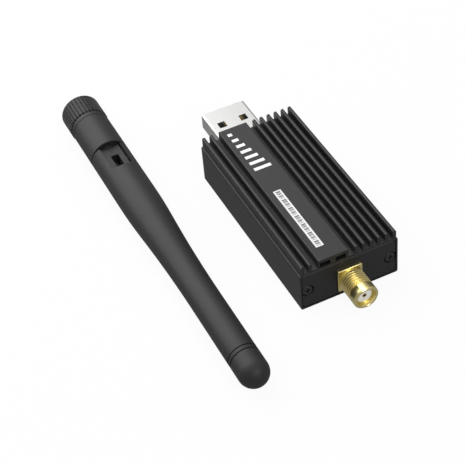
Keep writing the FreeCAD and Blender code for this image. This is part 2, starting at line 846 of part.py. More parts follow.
def whip_sheath():
    """The moulded sheath: a forked root with its slot, a long taper and a slim tube."""
    drop_per_run = (body_radius - whip_radius) / (shoulder_bend_length + waist_bend_length)
    turn_radius = body_radius - drop_per_run * shoulder_bend_length
    shoulder_rise = bend_rise(shoulder_bend_length, body_radius - turn_radius)
    waist_rise = bend_rise(waist_bend_length, turn_radius - whip_radius)
    first = Part.Arc(V(body_radius, -taper_start, 0),
                     V(body_radius - shoulder_rise, -taper_start - shoulder_bend_length / 2, 0),
                     V(turn_radius, -taper_turn, 0))
    second = Part.Arc(V(turn_radius, -taper_turn, 0),
                      V(whip_radius + waist_rise, -taper_end + waist_bend_length / 2, 0),
                      V(whip_radius, -taper_end, 0))
    line = [V(whip_radius, -taper_end, 0), V(whip_radius, -cap_start, 0),
            V(sheath_bore_radius, -cap_start, 0), V(sheath_bore_radius, -sheath_bore_start, 0),
            V(lead_bore_radius, -sheath_bore_start, 0), V(lead_bore_radius, -whip_start, 0),
            V(body_radius, -whip_start, 0), V(body_radius, -taper_start, 0)]
    edges = [first.toShape(), second.toShape()]
    for i in range(len(line) - 1):
        edges.append(Part.LineSegment(line[i], line[i + 1]).toShape())
    face = Part.Face(Part.Wire(edges))
    sheath = face.revolve(V(0, 0, 0), V(0, 1, 0), 360)
    s = slot_half_width
    slot = slab_along_z([(-s, -slot_end, slot_corner_radius), (s, -slot_end, slot_corner_radius),
                         (s, -whip_start, 0.0), (-s, -whip_start, 0.0)],
                        slot_floor, body_radius)
    sheath = sheath.cut(slot)
    sweep = hinge_setback - ear_sweep_gap
    horns = block(-body_radius, body_radius, -hinge_at, -whip_start, hinge_height, body_radius)
    sheath = sheath.cut(horns.cut(cross_rod(sweep, -body_radius, body_radius)))
    heel = block(-body_radius, body_radius, -hinge_at, -whip_start, -body_radius, slot_floor)
    sheath = sheath.cut(heel.cut(cross_rod(heel_radius, -body_radius, body_radius)))
    pin_hole = hinge_pin_radius + running_gap
    reach = hinge_pin_outer_x + running_gap
    sheath = sheath.cut(cross_rod(pin_hole, s, reach))
    return sheath.cut(cross_rod(pin_hole, -reach, -s))


def whip_cap():
    """The domed tip, plugged into the sheath, with one groove at its seam and one beside it."""
    dome_at = whip_end - whip_radius
    spigot = sheath_bore_radius - seat_gap
    spigot_start = cap_start - spigot_length
    groove = whip_radius - cap_groove_depth
    second = cap_start + cap_groove_spacing
    line = [V(0, -whip_end, 0), V(0, -spigot_start, 0), V(spigot, -spigot_start, 0),
            V(spigot, -cap_start, 0), V(groove, -cap_start, 0),
            V(groove, -cap_start - cap_groove_width, 0),
            V(whip_radius, -cap_start - cap_groove_width, 0), V(whip_radius, -second, 0),
            V(groove, -second, 0), V(groove, -second - cap_groove_width, 0),
            V(whip_radius, -second - cap_groove_width, 0), V(whip_radius, -dome_at, 0)]
    edges = [Part.LineSegment(line[i], line[i + 1]).toShape() for i in range(len(line) - 1)]
    slant = whip_radius * math.sqrt(0.5)
    dome = Part.Arc(V(whip_radius, -dome_at, 0), V(slant, -dome_at - slant, 0), V(0, -whip_end, 0))
    edges.append(dome.toShape())
    cap = Part.Face(Part.Wire(edges)).revolve(V(0, 0, 0), V(0, 1, 0), 360)
    return cap.cut(rod(spigot_start, spigot_start + spigot_hole_depth,
                       radiator_rod_radius + seat_gap))


def radiator_sleeve():
    """The brass tube that lines the lower part of the sheath."""
    outer = sheath_bore_radius - seat_gap
    return tube(radiator_sleeve_start, radiator_sleeve_end, outer, outer - radiator_sleeve_wall)


def radiator_spacer():
    """The plastic disc that centres the lead in the brass tube."""
    outer = sheath_bore_radius - 2 * seat_gap - radiator_sleeve_wall
    return tube(radiator_sleeve_end - spacer_thickness, radiator_sleeve_end, outer,
                lead_radius + seat_gap)


def whip_lead():
    """The lead inside the whip, from the hinge slot to the top of the brass tube."""
    return rod(slot_end + assembly_gap, radiator_sleeve_end, lead_radius)


def radiator_rod():
    """The bare copper radiator, from the lead's end into the cap's spigot."""
    end = cap_start - spigot_length + spigot_hole_depth
    return rod(radiator_sleeve_end, end, radiator_rod_radius)


def write_parts():
    """Write every sub-part to a file of its own."""
    stick = {
        "case_extrusion": case_extrusion(),
        "jack_end_plate": jack_end_plate(),
        "plug_end_plate": plug_end_plate(),
        "jack_plate_screws": plate_screws(-1),
        "plug_plate_screws": plate_screws(1),
        "circuit_board": circuit_board(),
        "usb_plug_shell": usb_plug_shell(),
        "usb_plug_insulator": usb_plug_insulator(),
        "usb_plug_contacts": usb_plug_contacts(),
        "jack_body": jack_body(),
        "jack_insulator": jack_insulator(),
        "jack_contact": jack_contact(),
        "radio_shield_can": radio_shield_can(),
        "radio_chip": chip(radio_chip_side, radio_chip_side, chip_height, 0, radio_chip_y),
        "radio_crystal": chip(radio_crystal_across, radio_crystal_along, radio_crystal_height,
                              radio_crystal_x, radio_crystal_y),
        "usb_bridge_chip": chip(bridge_chip_side, bridge_chip_side, chip_height,
                                bridge_chip_x, bridge_chip_y),
        "clock_crystal": chip(clock_crystal_across, clock_crystal_along, clock_crystal_height,
                              clock_crystal_x, clock_crystal_y),
        "voltage_regulator": chip(regulator_across, regulator_along, regulator_height,
                                  regulator_x, regulator_y),
        "capacitors": capacitors(),
        "status_lamps": status_lamps(),
        "label_sticker": label_sticker(),
    }
    antenna = {
        "antenna_sleeve": antenna_sleeve(),
        "coupling_nut": coupling_nut(),
        "retaining_ring": retaining_ring(),
        "connector_body": connector_body(),
        "connector_insulator": connector_insulator(),
        "connector_pin": connector_pin(),
        "antenna_knuckle": antenna_knuckle(),
        "antenna_lead": antenna_lead(),
        "hinge_pins": hinge_pins(),
        "whip_sheath": whip_sheath(),
        "whip_cap": whip_cap(),
        "whip_lead": whip_lead(),
        "radiator_sleeve": radiator_sleeve(),
        "radiator_spacer": radiator_spacer(),
        "radiator_rod": radiator_rod(),
    }
    os.makedirs("parts", exist_ok=True)
    for name, shape in stick.items():
        shape.exportStep("parts/" + name + ".step")
    for name, shape in antenna.items():
        placed(shape).exportStep("parts/" + name + ".step")


write_parts()
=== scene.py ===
"""Looks of a finned USB radio stick and of its folding whip antenna, which lies beside it.

The solids come packed, in metres: the origin is the middle of the case's flat underside, +X is to
the right seen from the jack's end, +Y points at the USB plug and +Z is up, towards the fins.
"""

import json
import math

import bpy
import numpy as np
from bpy.props import FloatProperty, FloatVectorProperty, IntProperty, PointerProperty
from mathutils import Matrix, Vector


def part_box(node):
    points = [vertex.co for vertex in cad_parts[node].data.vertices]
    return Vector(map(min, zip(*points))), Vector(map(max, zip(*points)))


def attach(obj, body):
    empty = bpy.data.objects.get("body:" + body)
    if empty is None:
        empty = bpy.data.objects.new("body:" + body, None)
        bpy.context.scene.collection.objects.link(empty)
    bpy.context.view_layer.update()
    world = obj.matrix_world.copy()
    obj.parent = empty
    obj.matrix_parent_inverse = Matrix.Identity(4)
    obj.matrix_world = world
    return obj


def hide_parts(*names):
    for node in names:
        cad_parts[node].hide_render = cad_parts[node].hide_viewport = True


bl_info = {
    "name": "Finned Radio Stick",
    "version": (1, 0, 0),
    "blender": (4, 5, 0),
    "location": "3D View > Sidebar > Radio Stick",
    "description": "Finishes, printed marks and threads of a finned radio stick and its antenna",
    "category": "Object",
}

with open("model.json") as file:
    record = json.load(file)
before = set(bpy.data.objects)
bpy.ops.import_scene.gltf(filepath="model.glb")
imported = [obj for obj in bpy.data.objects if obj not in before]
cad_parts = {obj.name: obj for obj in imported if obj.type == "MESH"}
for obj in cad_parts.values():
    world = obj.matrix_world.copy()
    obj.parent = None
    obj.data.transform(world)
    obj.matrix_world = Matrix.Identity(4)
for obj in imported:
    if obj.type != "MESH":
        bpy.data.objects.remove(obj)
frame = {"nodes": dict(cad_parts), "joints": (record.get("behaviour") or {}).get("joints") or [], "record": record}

MM = 0.001
TURN = 2 * math.pi
PRINT_THICKNESS = 0.012 * MM
JACK_CLEARANCE = 0.01 * MM  # between the jack's bore and its insulator
LIP_BEVEL = 0.08 * MM  # round the edge of the jack's mouth
NUT_WALL = 0.02 * MM  # left outside the roots of the nut's thread
JACK_SHARP_DEGREES = 38.0
THREAD_SHARP_DEGREES = 60.0
STAGE_MIDDLE = (-0.012, 0.01, 0.0)
FLOOR_REACH = 3.0
FLOOR_GREY = (0.82, 0.82, 0.82)
WHITE = (1.0, 1.0, 1.0, 1.0)
CAMERA_RIGHT = (0.89631, -0.43791, -0.07000)
CAMERA_UP = (0.34936, 0.60003, 0.71967)
CAMERA_BACK = (-0.27315, -0.66949, 0.69078)


def slot_colour(slot):
    """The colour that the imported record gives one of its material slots."""
    for row in frame["record"]["materials"]:
        if row["slot"] == slot:
            return tuple(row["base_color"][:3])
    raise KeyError(slot)


def joint_axis(name):
    """Unit vector along a joint, as an array."""
    for joint in frame["joints"]:
        if joint["name"] == name:
            axis = np.array(joint["axis"], float)
            return axis / np.linalg.norm(axis)
    raise KeyError(name)


def joint_place(name):
    """A point on a joint's axis, as an array."""
    for joint in frame["joints"]:
        if joint["name"] == name:
            return np.array(joint["pos_m"], float)
    raise KeyError(name)


CASE_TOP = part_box("case_extrusion")[1].z
JACK_LOW, JACK_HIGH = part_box("jack_body")
PLATE_LOW, PLATE_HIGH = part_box("jack_end_plate")
BOARD_LOW, BOARD_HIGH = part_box("circuit_board")
LABEL_LOW, LABEL_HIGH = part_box("label_sticker")
INSULATOR_LOW, INSULATOR_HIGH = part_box("jack_insulator")


# Sizes and colours that a user would change


class JackSizes(bpy.types.PropertyGroup):
    """Sizes of the gold antenna jack."""

    barrel_radius: FloatProperty(
        name="Barrel radius", description="Outer radius of the threaded barrel",
        default=3.175 * MM, precision=5, subtype="DISTANCE")
    thread_pitch: FloatProperty(
        name="Thread pitch", description="Distance from one thread ridge to the next",
        default=0.7056 * MM, precision=5, subtype="DISTANCE")
    thread_depth: FloatProperty(
        name="Thread depth", description="Depth of the thread's grooves",
        default=0.5 * MM, precision=5, subtype="DISTANCE")
    tip_ring: FloatProperty(
        name="Tip ring", description="Length of the plain ring at the jack's tip",
        default=1.89 * MM, precision=5, subtype="DISTANCE")
    tip_chamfer: FloatProperty(
        name="Tip chamfer", description="Chamfer of the jack's tip",
        default=0.35 * MM, precision=5, subtype="DISTANCE")
    neck_radius: FloatProperty(
        name="Neck radius", description="Radius of the neck between flange and thread",
        default=2.75 * MM, precision=5, subtype="DISTANCE")
    neck_width: FloatProperty(
        name="Neck width", description="Width of the neck between flange and thread",
        default=0.65 * MM, precision=5, subtype="DISTANCE")
    mouth_radius: FloatProperty(
        name="Mouth radius", description="Inner radius of the jack's open mouth",
        default=2.4 * MM, precision=5, subtype="DISTANCE")
    flange_proud: FloatProperty(
        name="Flange proud", description="How far the square flange stands out of its plate",
        default=0.5 * MM, precision=5, subtype="DISTANCE")
    flange_inside: FloatProperty(
        name="Flange inside", description="How far the flange reaches in behind its plate",
        default=0.3 * MM, precision=5, subtype="DISTANCE")
    flange_edge: FloatProperty(
        name="Flange edge", description="Bevel round the square flange",
        default=0.14 * MM, precision=5, subtype="DISTANCE")
    leg: FloatProperty(
        name="Leg", description="Thickness of the legs that hold the board",
        default=1.0 * MM, precision=5, subtype="DISTANCE")


class PrintSizes(bpy.types.PropertyGroup):
    """Sizes of the white mark on the strip and of the bars on the sticker."""

    mark_low: FloatVectorProperty(
        name="Mark corner", description="Corner of the mark nearest to the jack, in X and Y",
        size=2, default=(-6.4 * MM, 8.5 * MM), precision=5, subtype="XYZ")
    mark_size: FloatVectorProperty(
        name="Mark size", description="Size of the mark across and along the strip",
        size=2, default=(4.5 * MM, 15.6 * MM), precision=5, subtype="XYZ")
    mark_bars: IntProperty(
        name="Mark bars", description="How many rising bars the mark has", default=7, min=2)
    mark_fill: FloatProperty(
        name="Mark fill", description="Share of the mark's length that its bars fill",
        default=0.42, min=0.1, max=0.95, subtype="FACTOR")
    first_bar: FloatProperty(
        name="First bar", description="Height of the lowest bar as a share of the highest",
        default=0.25, min=0.05, max=1.0, subtype="FACTOR")
    sticker_margin: FloatProperty(
        name="Sticker margin", description="Plain border round the sticker's bars",
        default=0.42 * MM, precision=5, subtype="DISTANCE")
    sticker_bars: IntProperty(
        name="Sticker bars", description="How many fine bars are printed on the sticker",
        default=46, min=1)


class NutSizes(bpy.types.PropertyGroup):
    """Sizes of the thread in the antenna's nut."""

    inner_radius: FloatProperty(
        name="Ridge radius", description="Radius at the tops of the inner thread",
        default=2.92 * MM, precision=5, subtype="DISTANCE")
    outer_radius: FloatProperty(
        name="Root radius", description="Radius at the roots of the inner thread",
        default=3.19 * MM, precision=5, subtype="DISTANCE")
    start: FloatProperty(
        name="Start", description="Depth in the knurled end at which the thread starts",
        default=0.75 * MM, precision=5, subtype="DISTANCE")
    end: FloatProperty(
        name="End", description="Depth in the knurled end at which the thread ends",
        default=4.85 * MM, precision=5, subtype="DISTANCE")


class FinishValues(bpy.types.PropertyGroup):
    """Colours and roughness of the finishes that show most."""

    anodised: FloatVectorProperty(
        name="Anodised", description="Colour of the black anodised case", subtype="COLOR",
        size=3, default=(0.013, 0.013, 0.0141), min=0, max=1)
    anodised_roughness: FloatProperty(
        name="Anodised roughness", description="Roughness of the anodised case",
        default=0.5, min=0, max=1, subtype="FACTOR")
    antenna: FloatVectorProperty(
        name="Antenna", description="Colour of the antenna's moulded plastic", subtype="COLOR",
        size=3, default=(0.0135, 0.0135, 0.0142), min=0, max=1)
    antenna_roughness: FloatProperty(
        name="Antenna roughness", description="Roughness of the moulded plastic",
        default=0.55, min=0, max=1, subtype="FACTOR")
    gold: FloatVectorProperty(
        name="Gold", description="Colour of the jack's gold plating", subtype="COLOR",
        size=3, default=(0.9, 0.77, 0.36), min=0, max=1)
    steel: FloatVectorProperty(
        name="Plug steel", description="Colour of the plug's nickel plating", subtype="COLOR",
        size=3, default=(0.59, 0.595, 0.58), min=0, max=1)
    print_white: FloatVectorProperty(
        name="Print white", description="Colour of the mark on the strip", subtype="COLOR",
        size=3, default=(0.93, 0.93, 0.93), min=0, max=1)
    print_grey: FloatVectorProperty(
        name="Print grey", description="Colour of the sticker's bars", subtype="COLOR",
        size=3, default=(0.12, 0.12, 0.125), min=0, max=1)


class StageValues(bpy.types.PropertyGroup):
    """Camera, lamps and floor."""

    lens: FloatProperty(
        name="Lens", description="Focal length on a 36 mm wide sensor, in millimetres",
        default=119.43, min=10, max=500)
    camera_place: FloatVectorProperty(
        name="Camera place", description="Where the camera stands", size=3,
        default=(-0.11752, -0.24573, 0.25886), precision=5, subtype="TRANSLATION")
    key_power: FloatProperty(
        name="Key power", description="Power of the big soft lamp behind the object",
        default=3.25, min=0)
    side_power: FloatProperty(
        name="Side power", description="Power of the low lamp at the far left", default=0.4, min=0)
    fill_power: FloatProperty(
        name="Fill power", description="Power of the lamp near the camera", default=0.9,
        min=0)
    horizon: FloatProperty(
        name="Horizon", description="Strength of the room's light at the horizon", default=0.14,
        min=0)
    zenith: FloatProperty(
        name="Zenith", description="Strength of the room's light straight above", default=0.72,
        min=0)
    floor_glow: FloatProperty(
        name="Floor glow", description="Share of the floor's look that is plain white",
        default=0.94, min=0, max=1, subtype="FACTOR")
    mirrored_world: FloatProperty(
        name="Mirrored world", description="Share of the room that is white in reflections",
        default=0.1, min=0, max=1, subtype="FACTOR")
    mirrored_floor: FloatProperty(
        name="Mirrored floor", description="Strength of that white in reflections",
        default=0.3, min=0, max=1, subtype="FACTOR")


# Meshes from arrays


def ring_faces(rows, columns):
    """Quads of a grid whose rows and columns both close on themselves."""
    i, j = np.meshgrid(np.arange(rows), np.arange(columns), indexing="ij")
    down, right = (i + 1) % rows, (j + 1) % columns
    corners = [i * columns + j, down * columns + j, down * columns + right, i * columns + right]
    return np.stack(corners, -1).reshape(-1, 4)


def box_faces(first):
    """Six quads of a box whose eight corners start at index first, low face before high."""
    quads = [(0, 3, 2, 1), (4, 5, 6, 7), (0, 1, 5, 4), (1, 2, 6, 5), (2, 3, 7, 6), (3, 0, 4, 7)]
    return np.array(quads) + first


def box_points(low, high):
    """Eight corners of a box: the low face's four, then the high face's four."""
    x = np.array([low[0], high[0], high[0], low[0]] * 2)
    y = np.array([low[1], low[1], high[1], high[1]] * 2)
    z = np.repeat([low[2], high[2]], 4)
    return np.stack([x, y, z], -1)


def build_piece(name, points, faces, body, material, sharp_deg=30.0):
    """A mesh object in the row frame, smooth but for edges sharper than sharp_deg."""
    mesh = bpy.data.meshes.new(name)
    mesh.from_pydata(np.asarray(points, float).tolist(), [], np.asarray(faces).tolist())
    mesh.polygons.foreach_set("use_smooth", np.ones(len(mesh.polygons), bool))
    mesh.set_sharp_from_angle(angle=math.radians(sharp_deg))
    mesh.update()
    piece = bpy.data.objects.new(name, mesh)
    bpy.context.scene.collection.objects.link(piece)
    piece.data.materials.append(material)
    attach(piece, body)
    return piece


def join_shells(shells):
    """One point array and one face list from several (points, faces) shells."""
    points, faces, first = [], [], 0
    for shell_points, shell_faces in shells:
        points.append(shell_points)
        faces.append(np.asarray(shell_faces) + first)
        first += len(shell_points)
    return np.concatenate(points), np.concatenate(faces)


def rounded_square(angle, half, corner):
    """Distance from the middle of a square to its edge, at each angle.

    The edge is straight, at half / cos(a), until the corner's arc, where it is the far root of
    |r u - c| = corner for the direction u and the arc's centre c.
    """
    a = np.abs((angle + TURN / 8) % (TURN / 4) - TURN / 8)
    straight = half / np.cos(a)
    centre = (half - corner) * math.sqrt(2)
    off = TURN / 8 - a
    inside = corner ** 2 - (centre * np.sin(off)) ** 2
    arc = centre * np.cos(off) + np.sqrt(np.maximum(inside, 0))
    return np.where(straight * np.sin(a) > half - corner, arc, straight)


# Shader groups


def new_group(name, inputs, outputs):
    """An empty shader node group with its sockets, and its input and output nodes."""
    group = bpy.data.node_groups.new(name, "ShaderNodeTree")
    for label, kind, value in inputs:
        socket = group.interface.new_socket(label, in_out="INPUT", socket_type=kind)
        socket.default_value = value
    for label, kind in outputs:
        group.interface.new_socket(label, in_out="OUTPUT", socket_type=kind)
    enter = group.nodes.new("NodeGroupInput")
    leave = group.nodes.new("NodeGroupOutput")
    return group, enter, leave


def math_node(group, operation, first, second, clamp=False):
    """A Math node whose inputs are sockets or numbers; gives its output socket."""
    node = group.nodes.new("ShaderNodeMath")
    node.operation = operation
    node.use_clamp = clamp
    for socket, value in zip(node.inputs, (first, second)):
        if isinstance(value, (int, float)):
            socket.default_value = value
        else:
            group.links.new(value, socket)
    return node.outputs[0]


def noise_node(group, vector, scale, detail, roughness=0.55):
    """A noise texture's value; scale is a socket or a number."""
    node = group.nodes.new("ShaderNodeTexNoise")
    node.inputs["Detail"].default_value = detail
    node.inputs["Roughness"].default_value = roughness
    group.links.new(vector, node.inputs["Vector"])
    if isinstance(scale, (int, float)):
        node.inputs["Scale"].default_value = scale
    else:
        group.links.new(scale, node.inputs["Scale"])
    return node.outputs[0]


def shaded_colour(group, colour, mask, amount):
    """The colour times 1 + amount * (mask - 0.5)."""
    centred = math_node(group, "SUBTRACT", mask, 0.5)
    swing = math_node(group, "MULTIPLY", centred, amount)
    factor = math_node(group, "ADD", swing, 1.0)
    scale = group.nodes.new("ShaderNodeVectorMath")
    scale.operation = "SCALE"
    group.links.new(colour, scale.inputs[0])
    group.links.new(factor, scale.inputs["Scale"])
    return scale.outputs[0]


SURFACE_OUTPUTS = [("Colour", "NodeSocketColor"), ("Roughness", "NodeSocketFloat"),
                   ("Height", "NodeSocketFloat")]


def moulded_grain_group():
    """Fine even grain, as on moulded plastic, ceramic or blasted metal.

    A fine noise makes the height; with a broad, faint mottle it also shades the colour and the
    roughness.
    """
    group, enter, leave = new_group("moulded grain", [
        ("Colour", "NodeSocketColor", (0.5, 0.5, 0.5, 1)), ("Shade", "NodeSocketFloat", 0.1),
        ("Roughness", "NodeSocketFloat", 0.5), ("Spread", "NodeSocketFloat", 0.08),
        ("Grain scale", "NodeSocketFloat", 6000.0)], SURFACE_OUTPUTS)
    place = group.nodes.new("ShaderNodeTexCoord").outputs["Object"]
    grain = noise_node(group, place, enter.outputs["Grain scale"], 2.0)
    mottle_scale = math_node(group, "MULTIPLY", enter.outputs["Grain scale"], 0.03)
    mottle = noise_node(group, place, mottle_scale, 3.0)
    both = math_node(group, "MULTIPLY", math_node(group, "ADD", grain, mottle), 0.5)
    group.links.new(shaded_colour(group, enter.outputs["Colour"], both, enter.outputs["Shade"]),
                    leave.inputs["Colour"])
    swing = math_node(group, "MULTIPLY", math_node(group, "SUBTRACT", both, 0.5),
                      enter.outputs["Spread"])
    group.links.new(math_node(group, "ADD", enter.outputs["Roughness"], swing),
                    leave.inputs["Roughness"])
    group.links.new(grain, leave.inputs["Height"])
    return group


def drawn_lines_group():
    """Fine lines along Y, as on an extrusion or on rolled sheet.

    The noise is squeezed along Y, so that its cells become long streaks.
    """
    group, enter, leave = new_group("drawn lines", [
        ("Colour", "NodeSocketColor", (0.5, 0.5, 0.5, 1)), ("Shade", "NodeSocketFloat", 0.1),
        ("Roughness", "NodeSocketFloat", 0.4), ("Spread", "NodeSocketFloat", 0.1),
        ("Line scale", "NodeSocketFloat", 3500.0), ("Grain scale", "NodeSocketFloat", 9000.0)],
        SURFACE_OUTPUTS)
    place = group.nodes.new("ShaderNodeTexCoord").outputs["Object"]
    squeeze = group.nodes.new("ShaderNodeMapping")
    squeeze.inputs["Scale"].default_value = (1.0, 0.012, 1.0)
    group.links.new(place, squeeze.inputs["Vector"])
    lines = noise_node(group, squeeze.outputs[0], enter.outputs["Line scale"], 3.0)
    grain = noise_node(group, place, enter.outputs["Grain scale"], 1.0)
    both = math_node(group, "MULTIPLY", math_node(group, "ADD", lines, grain), 0.5)
    group.links.new(shaded_colour(group, enter.outputs["Colour"], both, enter.outputs["Shade"]),
                    leave.inputs["Colour"])
    swing = math_node(group, "MULTIPLY", math_node(group, "SUBTRACT", lines, 0.5),
                      enter.outputs["Spread"])
    group.links.new(math_node(group, "ADD", enter.outputs["Roughness"], swing),
                    leave.inputs["Roughness"])
    group.links.new(both, leave.inputs["Height"])
    return group


def surface_material(name, group, colour, values, bump, metallic=0.0, coat=0.0):
    """A Principled material that takes colour, roughness and height from a shader group."""
    material = bpy.data.materials.new(name)
    material.use_nodes = True
    tree = material.node_tree
    shader = tree.nodes["Principled BSDF"]
    shader.inputs["Metallic"].default_value = metallic
    shader.inputs["Coat Weight"].default_value = coat
    pattern = tree.nodes.new("ShaderNodeGroup")
    pattern.node_tree = group
    pattern.inputs["Colour"].default_value = (*colour, 1)
    for label, value in values.items():
        pattern.inputs[label].default_value = value
    lift = tree.nodes.new("ShaderNodeBump")
    lift.inputs["Strength"].default_value = 1.0
    lift.inputs["Distance"].default_value = bump
    tree.links.new(pattern.outputs["Height"], lift.inputs["Height"])
    tree.links.new(pattern.outputs["Colour"], shader.inputs["Base Color"])
    tree.links.new(pattern.outputs["Roughness"], shader.inputs["Roughness"])
    tree.links.new(lift.outputs["Normal"], shader.inputs["Normal"])
    return material


# Finishes


def anodised_finish(name, colour, roughness, groups):
    """Black anodised extrusion: fine drawn lines along the case, satin."""
    return surface_material(
        name, groups["lines"], colour,
        {"Shade": 0.35, "Roughness": roughness, "Spread": 0.12, "Line scale": 2600.0,
         "Grain scale": 11000.0}, 0.004 * MM)


def plastic_finish(name, colour, roughness, groups, grain=5200.0, bump=0.006 * MM, shade=0.2):
    """Moulded plastic with a fine eroded grain, or another plain matt surface."""
    return surface_material(
        name, groups["grain"], colour,
        {"Shade": shade, "Roughness": roughness, "Spread": 0.12, "Grain scale": grain}, bump)


def plated_finish(name, colour, roughness, groups):
    """Smooth plating over turned or pressed metal."""
    return surface_material(
        name, groups["grain"], colour,
        {"Shade": 0.1, "Roughness": roughness, "Spread": 0.1, "Grain scale": 3000.0},
        0.0015 * MM, metallic=1.0)


def sheet_metal_finish(name, colour, roughness, groups):
    """Rolled and plated sheet metal with faint lines."""
    return surface_material(
        name, groups["lines"], colour,
        {"Shade": 0.05, "Roughness": roughness, "Spread": 0.06, "Line scale": 7000.0,
         "Grain scale": 9000.0}, 0.001 * MM, metallic=1.0)


def gloss_finish(name, colour, roughness, groups):
    """Glossy resin or film under a thin clear coat."""
    return surface_material(
        name, groups["grain"], colour,
        {"Shade": 0.06, "Roughness": roughness, "Spread": 0.05, "Grain scale": 1500.0},
        0.001 * MM, coat=0.3)


def make_finishes(finish):
    """Every material of the object, by the record's slot names, and the two prints."""
    groups = {"grain": moulded_grain_group(), "lines": drawn_lines_group()}
    anodised = tuple(finish.anodised)
    antenna = tuple(finish.antenna)
    return {
        "black_anodised": anodised_finish("black anodised", anodised,
                                          finish.anodised_roughness, groups),
        "plate_black": plastic_finish("blasted black plate", tuple(0.8 * c for c in anodised),
                                      finish.anodised_roughness, groups, grain=9000.0,
                                      bump=0.003 * MM),
        "screw_black": plastic_finish("black screw steel", slot_colour("screw_black"), 0.38,
                                      groups, grain=4000.0, bump=0.002 * MM),
        "antenna_black": plastic_finish("antenna plastic", antenna, finish.antenna_roughness,
                                        groups),
        "board_laminate": plastic_finish("board laminate", slot_colour("board_laminate"), 0.4,
                                         groups, grain=2500.0, bump=0.004 * MM),
        "plug_plastic": plastic_finish("plug plastic", slot_colour("plug_plastic"), 0.45, groups),
        "white_insulator": plastic_finish("white insulator", slot_colour("white_insulator"), 0.4,
                                          groups, grain=2000.0, bump=0.002 * MM, shade=0.06),
        "chip_plastic": plastic_finish("chip plastic", slot_colour("chip_plastic"), 0.6, groups),
        "ceramic_tan": plastic_finish("fired ceramic", slot_colour("ceramic_tan"), 0.5, groups),
        "plug_steel": sheet_metal_finish("plug nickel", tuple(finish.steel), 0.36, groups),
        "tinned_steel": sheet_metal_finish("tinned steel", slot_colour("tinned_steel"), 0.35,
                                           groups),
        "jack_gold": plated_finish("jack gold", tuple(finish.gold), 0.3, groups),
        "contact_gold": plated_finish("contact gold", slot_colour("contact_gold"), 0.22, groups),
        "nut_brass": plated_finish("nut brass", slot_colour("nut_brass"), 0.3, groups),
        "copper": plated_finish("bare copper", slot_colour("copper"), 0.35, groups),
        "lamp_clear": gloss_finish("lamp resin", slot_colour("lamp_clear"), 0.15, groups),
        "lead_jacket": gloss_finish("lead jacket", slot_colour("lead_jacket"), 0.35, groups),
        "label_white": gloss_finish("sticker film", slot_colour("label_white"), 0.35, groups),
        "print_white": gloss_finish("white print", tuple(finish.print_white), 0.5, groups),
        "print_grey": gloss_finish("grey print", tuple(finish.print_grey), 0.5, groups),
    }


FINISHES = {}


# Pieces


def jack_points(jack):
    """The jack's body as one closed ring of sections.

    Each row of the grid is a station (y, r) of a closed outline, and each column an angle round
    the jack's axis. The flange's stations follow a rounded square, and the thread's stations
    follow r = R - depth * (1 + cos(2 pi t)) / 2, with t the turn count y / pitch - angle / turn.
    The outline runs forwards outside and back inside, so its faces are turned to point outwards.
    """
    columns = 128
    angle = np.arange(columns) * TURN / columns
    square = rounded_square(angle, (JACK_HIGH.x - JACK_LOW.x) / 2, 2 * jack.flange_edge)
    tip = JACK_LOW.y
    mouth_floor = INSULATOR_LOW.y
    back = PLATE_HIGH.y + jack.flange_inside
    face = PLATE_LOW.y - jack.flange_proud
    bore = (INSULATOR_HIGH.x - INSULATOR_LOW.x) / 2 + JACK_CLEARANCE
    edge = jack.flange_edge
    rows = [(back, np.full(columns, bore)), (back, square - edge), (back - edge, square),
            (face + edge, square), (face, square - edge)]
    rows += [(face, np.full(columns, jack.neck_radius)),
             (face - jack.neck_width, np.full(columns, jack.neck_radius))]
    thread_start = face - jack.neck_width
    thread_end = tip + jack.tip_chamfer + jack.tip_ring
    stations = 220
    along = np.linspace(thread_start, thread_end, stations)
    turns = (along[:, None] - thread_end) / jack.thread_pitch - angle[None, :] / TURN
    tooth = (1 + np.cos(TURN * turns)) / 2
    fade_length = 0.35 * jack.thread_pitch
    fade = np.clip((along - thread_end) / fade_length, 0, 1)[:, None]
    radius = jack.barrel_radius - jack.thread_depth * tooth * fade
    rows += [(y, r) for y, r in zip(along, radius)]
    rows += [(tip + jack.tip_chamfer, np.full(columns, jack.barrel_radius)),
             (tip, np.full(columns, jack.barrel_radius - jack.tip_chamfer)),
             (tip, np.full(columns, jack.mouth_radius + LIP_BEVEL)),
             (tip + LIP_BEVEL, np.full(columns, jack.mouth_radius)),
             (mouth_floor, np.full(columns, jack.mouth_radius)),
             (mouth_floor, np.full(columns, bore))]
    y = np.array([row[0] for row in rows])[:, None] + 0 * angle[None, :]
    r = np.stack([row[1] for row in rows])
    height = (JACK_LOW.z + JACK_HIGH.z) / 2
    points = np.stack([r * np.cos(angle), y, height + r * np.sin(angle)], -1)
    return points.reshape(-1, 3), ring_faces(len(rows), columns)[:, ::-1]


def jack_legs(jack):
    """Four plain legs that hold the board from above and below."""
    shells = []
    start = PLATE_HIGH.y + jack.flange_inside
    for side in (-1, 1):
        outer = side * JACK_HIGH.x
        inner = outer - side * jack.leg
        for low in (BOARD_HIGH.z, BOARD_LOW.z - jack.leg):
            shells.append((box_points((min(inner, outer), start, low),
                                      (max(inner, outer), JACK_HIGH.y, low + jack.leg)),
                           box_faces(0)))
    return shells


def mark_shells(sizes):
    """Bars that rise from first_bar to full height along the strip, printed on its top."""
    count = sizes.mark_bars
    step = sizes.mark_size[1] / (count - 1 + sizes.mark_fill)
    width = sizes.mark_fill * step
    shells = []
    for i in range(count):
        high_y = sizes.mark_low[1] + sizes.mark_size[1] - i * step
        share = sizes.first_bar + (1 - sizes.first_bar) * i / (count - 1)
        low = (sizes.mark_low[0], high_y - width, CASE_TOP - PRINT_THICKNESS)
        high = (sizes.mark_low[0] + share * sizes.mark_size[0], high_y,
                CASE_TOP + PRINT_THICKNESS)
        shells.append((box_points(low, high), box_faces(0)))
    return shells


